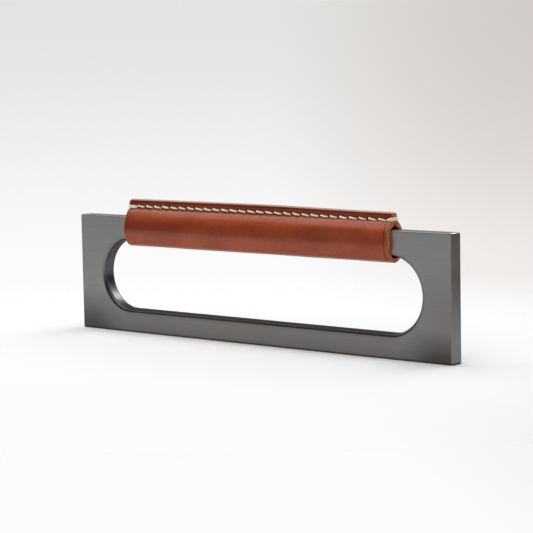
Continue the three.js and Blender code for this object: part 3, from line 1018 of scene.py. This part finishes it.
# Backdrop: its colours, and between which heights of view it goes from the first to the second
NEAR_WHITE = (0.975, 0.975, 0.982)
FAR_GREY = (0.770, 0.763, 0.752)
GREYING = (-0.12, 0.035)

# Backdrop's warmer side: colour, direction, how near that direction it shows, and its fade low down
WARM_SIDE = (0.82, 0.775, 0.74)
WARM_DIRECTION = Vector((-0.460, 0.887, -0.042)).normalized()
WARM_SPREAD = (0.968, 0.996)
WARM_RISE = (-0.105, -0.045, 0.68, 1.0)

AMBIENT = 0.4
LAMPS_AIM = Vector((0, 0, 30 * MM))
COOL_WHITE = (0.88, 0.97, 1.0)


def seen_directly(tree):
    """One for rays that should see the plain background, straight or in a reflection."""
    path = add(tree, "LightPath").outputs
    direct = calc(tree, "MAXIMUM", path["Is Camera Ray"], path["Is Glossy Ray"])
    return calc(tree, "MAXIMUM", direct, path["Is Transmission Ray"])


def build_floor():
    """A round pale floor that melts into the background away from the object."""
    mesh = bpy.data.meshes.new("floor")
    shaped = bmesh.new()
    bmesh.ops.create_circle(shaped, cap_ends=True, segments=96, radius=FLOOR_RADIUS)
    shaped.to_mesh(mesh)
    shaped.free()
    floor = bpy.data.objects.new("floor", mesh)
    bpy.context.scene.collection.objects.link(floor)

    material = new_material("pale_floor")
    tree = material.node_tree
    diffuse = add(tree, "BsdfDiffuse", {"Color": opaque(FLOOR_WHITE)})
    clear = add(tree, "BsdfTransparent")
    away = add(tree, "VectorMath", {0: object_place(tree)}, operation="LENGTH").outputs["Value"]
    share = calc(tree, "MULTIPLY", between(tree, away, *FLOOR_FADE), seen_directly(tree))
    blended = add(tree, "MixShader", {0: share, 1: diffuse.outputs[0], 2: clear.outputs[0]})
    finish_material(tree, blended)
    mesh.materials.append(material)


def build_screen(name, start, end, low, high):
    """An upright curved dark screen outside the picture; its angles run anticlockwise from +X."""
    steps = 24
    vertices = []
    for angle in np.radians(np.linspace(start, end, steps + 1)):
        x = SCREEN_RADIUS * math.cos(angle)
        y = SCREEN_RADIUS * math.sin(angle)
        vertices += [(x, y, low), (x, y, high)]
    faces = [(2 * step, 2 * step + 2, 2 * step + 3, 2 * step + 1) for step in range(steps)]
    mesh = bpy.data.meshes.new(name)
    mesh.from_pydata(vertices, [], faces)
    screen = bpy.data.objects.new(name, mesh)
    screen.visible_camera = False
    bpy.context.scene.collection.objects.link(screen)
    material = new_material(name)
    tree = material.node_tree
    finish_material(tree, add(tree, "BsdfDiffuse", {"Color": opaque(SCREEN_GREY)}))
    mesh.materials.append(material)


def light_world():
    """A pale backdrop, brightest low down and warmer on one side, and an even light on the object."""
    world = bpy.data.worlds.new("studio")
    bpy.context.scene.world = world
    world.use_nodes = True
    tree = world.node_tree
    tree.nodes.clear()
    heading = add(tree, "TexCoord").outputs["Generated"]
    rise = add(tree, "SeparateXYZ", {"Vector": heading}).outputs["Z"]
    backdrop = tint(tree, between(tree, rise, *GREYING), NEAR_WHITE, FAR_GREY)
    nearness = add(tree, "VectorMath", {0: heading, 1: WARM_DIRECTION}, operation="DOT_PRODUCT")
    toward = between(tree, nearness.outputs["Value"], *WARM_SPREAD)
    warm = calc(tree, "MULTIPLY", toward, between(tree, rise, *WARM_RISE))
    backdrop = tint(tree, warm, backdrop, WARM_SIDE, "MULTIPLY")
    shown = add(tree, "Background", {"Color": backdrop, "Strength": 1.0})
    fill = add(tree, "Background", {"Color": (1, 1, 1, 1), "Strength": AMBIENT})
    mixed = add(tree, "MixShader", {0: seen_directly(tree), 1: fill.outputs[0], 2: shown.outputs[0]})
    add(tree, "OutputWorld", {"Surface": mixed.outputs[0]})


def soft_box(name, place, size, power, colour=(1, 1, 1), lights_matt=True, shows_in_gloss=True):
    """A square area light at a place, facing the object."""
    lamp = bpy.data.lights.new(name, "AREA")
    lamp.shape = "SQUARE"
    lamp.size = size
    lamp.energy = power
    lamp.color = colour
    holder = bpy.data.objects.new(name, lamp)
    holder.location = place
    facing = LAMPS_AIM - Vector(place)
    holder.rotation_euler = facing.to_track_quat("-Z", "Y").to_euler()
    holder.visible_camera = False
    holder.visible_diffuse = lights_matt
    holder.visible_glossy = shows_in_gloss
    bpy.context.scene.collection.objects.link(holder)


def photo_camera():
    """The photograph's view: a long lens to the right of the front, a little above."""
    frame_pixels = 533
    focal_pixels = 1997.0
    yaw, pitch, roll = 0.723, 0.103, 0.019
    distance = 652.5 * MM
    shift_right, shift_down = 3.106 * MM, -3.518 * MM
    aim = Vector((0, 0, 22 * MM))

    forward = Vector((-math.sin(yaw) * math.cos(pitch), math.cos(yaw) * math.cos(pitch), -math.sin(pitch)))
    level = Vector((math.cos(yaw), math.sin(yaw), 0))
    down = forward.cross(level)
    right = math.cos(roll) * level + math.sin(roll) * down
    under = -math.sin(roll) * level + math.cos(roll) * down

    lens = bpy.data.cameras.new("camera")
    lens.sensor_width = 36
    lens.lens = focal_pixels / frame_pixels * lens.sensor_width
    lens.clip_start = 0.01
    lens.clip_end = 20
    camera = bpy.data.objects.new("camera", lens)
    turn = Matrix((right, -under, -forward)).transposed()
    eye = aim - forward * distance + right * shift_right + under * shift_down
    camera.matrix_world = Matrix.Translation(eye) @ turn.to_4x4()
    bpy.context.scene.collection.objects.link(camera)
    bpy.context.scene.camera = camera


def smooth_plate(plate):
    """Rounds the shading of the plate's facets, with its flat faces kept flat."""
    group = bpy.data.node_groups.new("joined_facets", "GeometryNodeTree")
    group.interface.new_socket("Geometry", in_out="INPUT", socket_type="NodeSocketGeometry")
    group.interface.new_socket("Geometry", in_out="OUTPUT", socket_type="NodeSocketGeometry")
    entry = group.nodes.new("NodeGroupInput")
    join = group.nodes.new("GeometryNodeMergeByDistance")
    join.inputs["Distance"].default_value = 0.001 * MM
    shade = group.nodes.new("GeometryNodeSetShadeSmooth")
    leave = group.nodes.new("NodeGroupOutput")
    group.links.new(entry.outputs[0], join.inputs["Geometry"])
    group.links.new(join.outputs["Geometry"], shade.inputs["Geometry"])
    group.links.new(shade.outputs["Geometry"], leave.inputs[0])
    joined = plate.modifiers.new("joined_facets", "NODES")
    joined.node_group = group
    weighted = plate.modifiers.new("weighted_normals", "WEIGHTED_NORMAL")
    weighted.mode = "FACE_AREA"
    weighted.weight = 100


# The object

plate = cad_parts["frame_plate"]
plate.material_slots[0].material = brushed_metal()
smooth_plate(plate)

sleeve = build_sleeve()
bpy.context.scene.collection.objects.link(sleeve)
sleeve.data.materials.append(glazed_leather("red_brown_leather", 0.42))
sleeve.data.materials.append(cut_leather())
sleeve.data.materials.append(glazed_leather("dry_fin_leather", 0.12))
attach(sleeve, "root")
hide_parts("leather_sleeve")

stitching = build_stitching()
bpy.context.scene.collection.objects.link(stitching)
stitching.data.materials.append(waxed_thread())
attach(stitching, "root")
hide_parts("saddle_stitching")

build_floor()
light_world()
build_screen("front_screen", start=195, end=335, low=0.0, high=1.5)
build_screen("side_screen", start=20, end=75, low=0.02, high=0.8)
soft_box("side_light", (-0.82, -0.03, 0.94), size=1.0, power=5.9)
soft_box("top_light", (0.10, 0.06, 1.2), size=1.0, power=5.6)
soft_box("back_light", (0.06, 0.62, 0.56), size=0.3, power=3.4, colour=COOL_WHITE, lights_matt=False)
soft_box("back_fill", (0.1, 1.5, 1.7), size=1.3, power=8.6, shows_in_gloss=False)
soft_box("front_fill", (0.25, -1.4, 1.2), size=1.3, power=7.4, shows_in_gloss=False)
photo_camera()
bpy.context.scene.view_settings.view_transform = "Standard"
